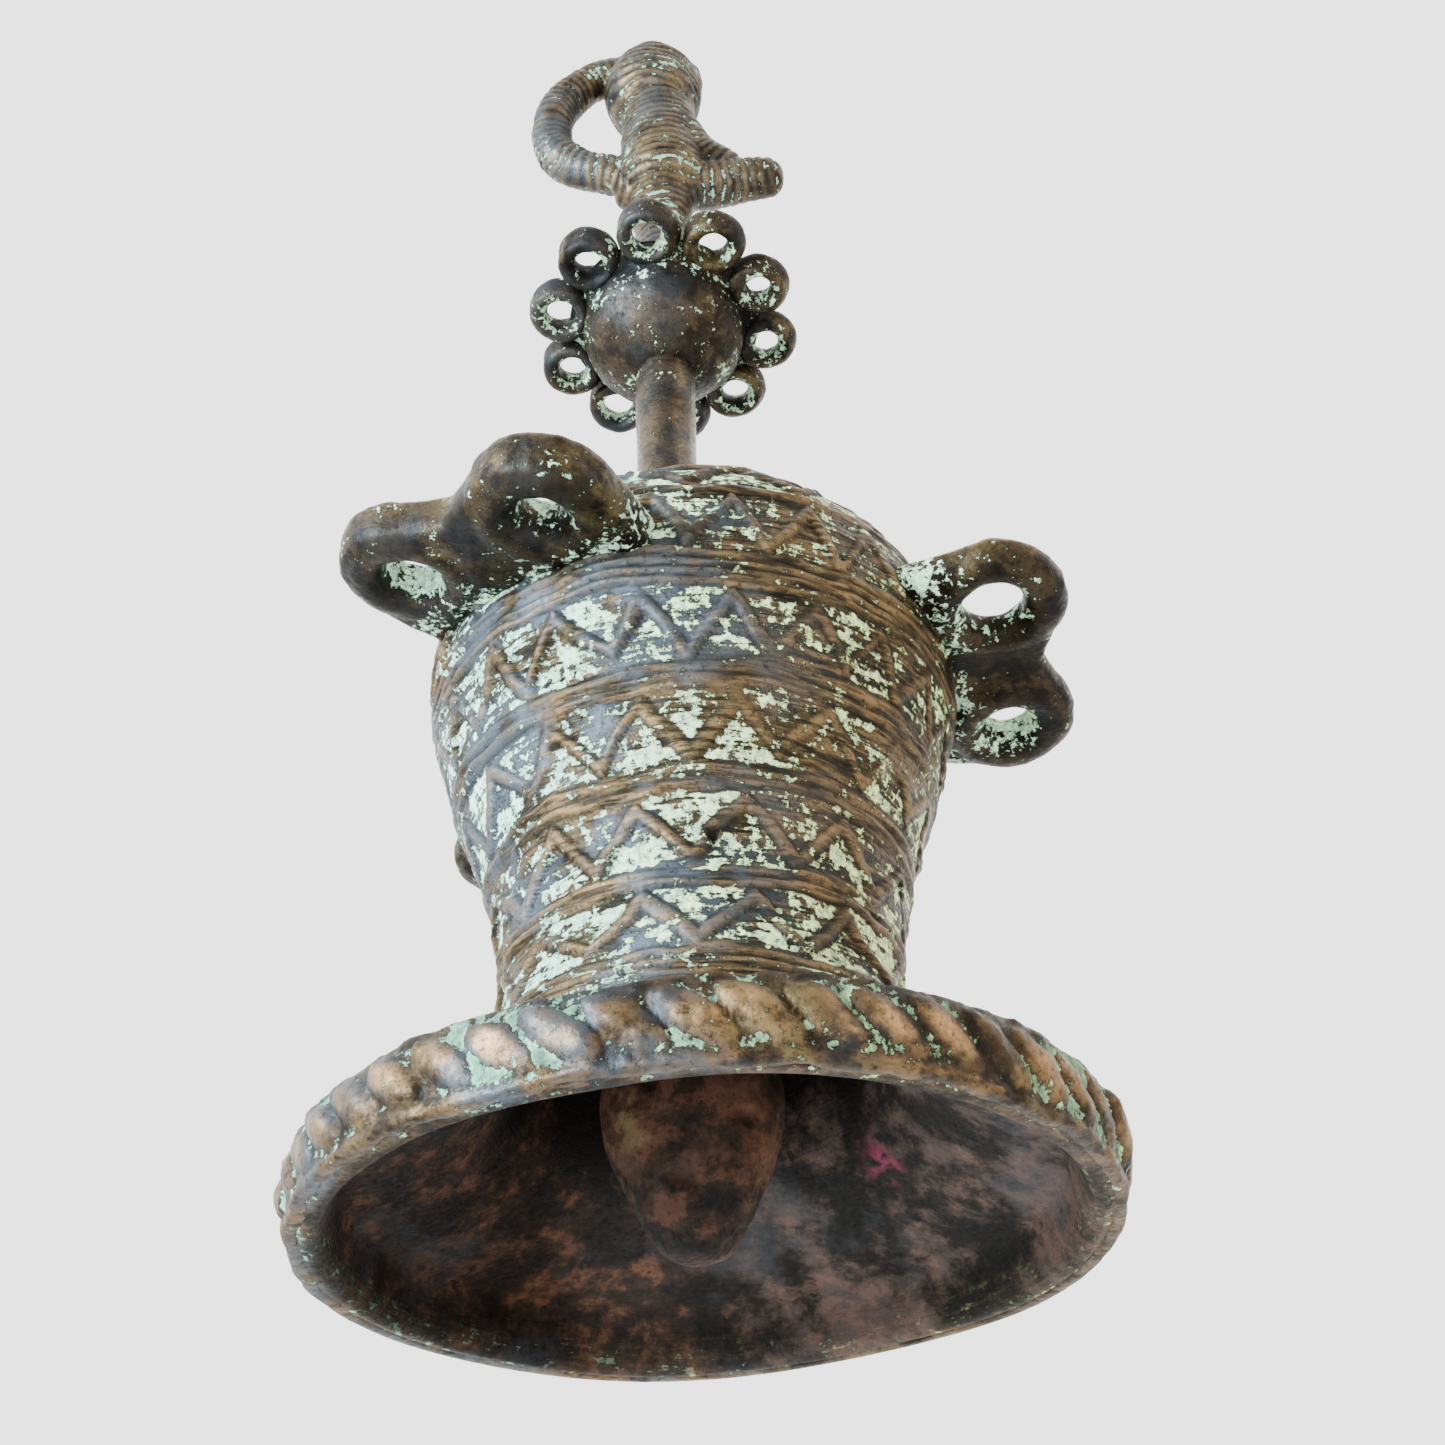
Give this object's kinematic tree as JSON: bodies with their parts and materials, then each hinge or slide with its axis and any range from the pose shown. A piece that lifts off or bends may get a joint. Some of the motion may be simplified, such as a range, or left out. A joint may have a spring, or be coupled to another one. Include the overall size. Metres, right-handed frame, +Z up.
{
  "type": "hand bell",
  "caption": "Cast bronze hand bell with a flared mouth, wound-thread relief, double-eyed lugs, a rosette handle with a looped finial, and a hanging clapper.",
  "frame": {"origin": "centre of the bounding box in x and y, at the height of the flat mouth rim that the bell stands on", "axes": "+Z up along the bell's axis from mouth to finial; the front faces -Y and the finial's loop is on the -X side"},
  "size_m": [0.0968, 0.0992, 0.2268],
  "materials": {
    "body_bronze": "aged brown bronze with pale green patina in the hollows",
    "thread_bronze": "worn bronze thread relief, rubbed brighter on top",
    "rope_bronze": "aged bronze with green patina between the strands",
    "lug_bronze": "hand-polished dark bronze, patina in the eyes",
    "stem_bronze": "smooth handled bronze",
    "rosette_bronze": "dark bronze with specks of patina",
    "finial_bronze": "bronze with ringed striations and patina in the grooves",
    "staple_bronze": "dark unpolished bronze",
    "link_iron": "dark rusted iron",
    "clapper_iron": "rough rusted iron, pitted at the end"
  },
  "bodies": {
    "bell": {"bell_body": "body_bronze", "rim_rope": "rope_bronze", "lug_left": "lug_bronze", "lug_right": "lug_bronze", "lug_back": "lug_bronze", "handle_stem": "stem_bronze", "mushroom_cap": "rosette_bronze", "finial_neck": "finial_bronze", "finial_foot": "finial_bronze", "finial_column": "finial_bronze", "finial_head": "finial_bronze", "finial_loop": "finial_bronze", "crown_staple": "staple_bronze", "rosette_ring_01": "rosette_bronze", "rosette_ring_02": "rosette_bronze", "rosette_ring_03": "rosette_bronze", "rosette_ring_04": "rosette_bronze", "rosette_ring_05": "rosette_bronze", "rosette_ring_06": "rosette_bronze", "rosette_ring_07": "rosette_bronze", "rosette_ring_08": "rosette_bronze", "rosette_ring_09": "rosette_bronze", "rosette_ring_10": "rosette_bronze", "thread_band_1": "thread_bronze", "zigzag_wire_1": "thread_bronze", "thread_band_2": "thread_bronze", "zigzag_wire_2": "thread_bronze", "thread_band_3": "thread_bronze", "zigzag_wire_3": "thread_bronze", "thread_band_4": "thread_bronze", "zigzag_wire_4": "thread_bronze"},
    "link": {"clapper_link": "link_iron"},
    "clapper": {"clapper": "clapper_iron"}
  },
  "joints": [
    {"name": "link_swing", "type": "hinge", "parent": "bell", "child": "link", "pos_m": [-0.00381, 0.00319, 0.0855], "axis": [1, 0, 0], "range_deg": [-9, 1.5]},
    {"name": "clapper_swing", "type": "hinge", "parent": "link", "child": "clapper", "pos_m": [-0.00381, 0.00319, 0.0778], "axis": [0, -1, 0], "range_deg": [-4, 7]}
  ]
}
